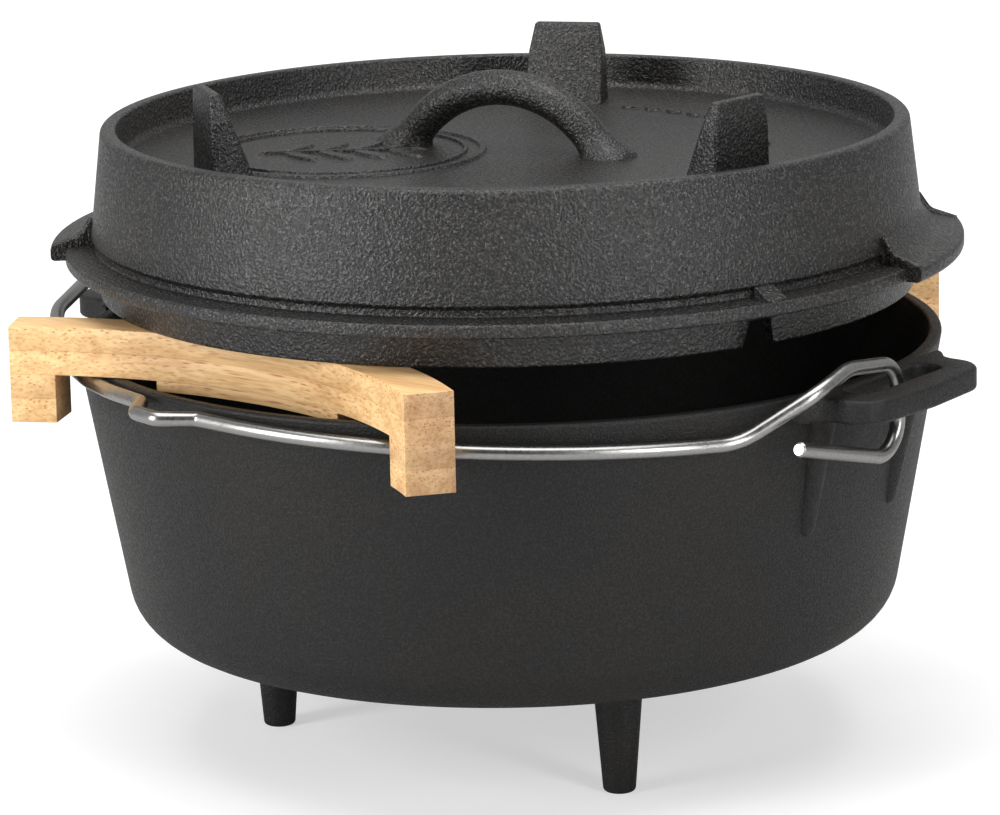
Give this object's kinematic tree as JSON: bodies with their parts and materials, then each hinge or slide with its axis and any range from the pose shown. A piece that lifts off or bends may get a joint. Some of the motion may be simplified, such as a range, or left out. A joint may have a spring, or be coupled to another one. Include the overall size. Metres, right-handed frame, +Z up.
{
  "type": "cast iron dutch oven",
  "caption": "Footed cast iron pot with two loop ears, a deep flanged lid with trivet feet and arched handle, a folding wire bail, and laminated bamboo bars that hold the lid raised.",
  "frame": {"origin": "on the ground, under the pot's axis", "axes": "+Z up along the pot's axis; +X through the pot's right ear; the bail is folded to -Y"},
  "size_m": [0.346, 0.3253, 0.2354],
  "materials": {
    "cast_iron_pot": "seasoned, fine sand-cast texture",
    "cast_iron_lid": "seasoned, coarse orange-peel sand-cast texture",
    "steel_wire": "satin drawn wire",
    "bamboo": "sanded, unvarnished, visible plies and end grain"
  },
  "bodies": {
    "pot": {"pot_casting": "cast_iron_pot"},
    "lid": {"lid_casting": "cast_iron_lid"},
    "bail": {"bail_wire": "steel_wire"},
    "front_bar": {"front_bar_top_ply": "bamboo", "front_bar_second_ply": "bamboo", "front_bar_locating_pad": "bamboo", "front_bar_left_leg_upper": "bamboo", "front_bar_left_leg_lower": "bamboo", "front_bar_right_leg_upper": "bamboo", "front_bar_right_leg_lower": "bamboo"},
    "rear_bar": {"rear_bar_top_ply": "bamboo", "rear_bar_second_ply": "bamboo", "rear_bar_locating_pad": "bamboo", "rear_bar_left_leg_upper": "bamboo", "rear_bar_left_leg_lower": "bamboo", "rear_bar_right_leg_upper": "bamboo", "rear_bar_right_leg_lower": "bamboo"}
  },
  "joints": [
    {"name": "bars_lift", "type": "slide", "parent": "pot", "child": "front_bar", "axis": [0, 0, 1], "range_m": [0, 0.37]},
    {"name": "rear_bar_lift", "type": "slide", "parent": "pot", "child": "rear_bar", "axis": [0, 0, 1], "range_m": [0, 0.37]},
    {"name": "lid_lift", "type": "slide", "parent": "front_bar", "child": "lid", "axis": [0, 0, 1], "range_m": [0, 0.12]},
    {"name": "bail_swing", "type": "hinge", "parent": "pot", "child": "bail", "pos_m": [0, -0.0305, 0.1405], "axis": [-1, 0, 0], "range_deg": [0, 130]}
  ],
  "couplings": [
    {"joint": "rear_bar_lift", "follows": "bars_lift", "ratio": 1},
    {"joint": "bail_swing", "follows": "bars_lift", "rad_per_m": 6.1}
  ]
}
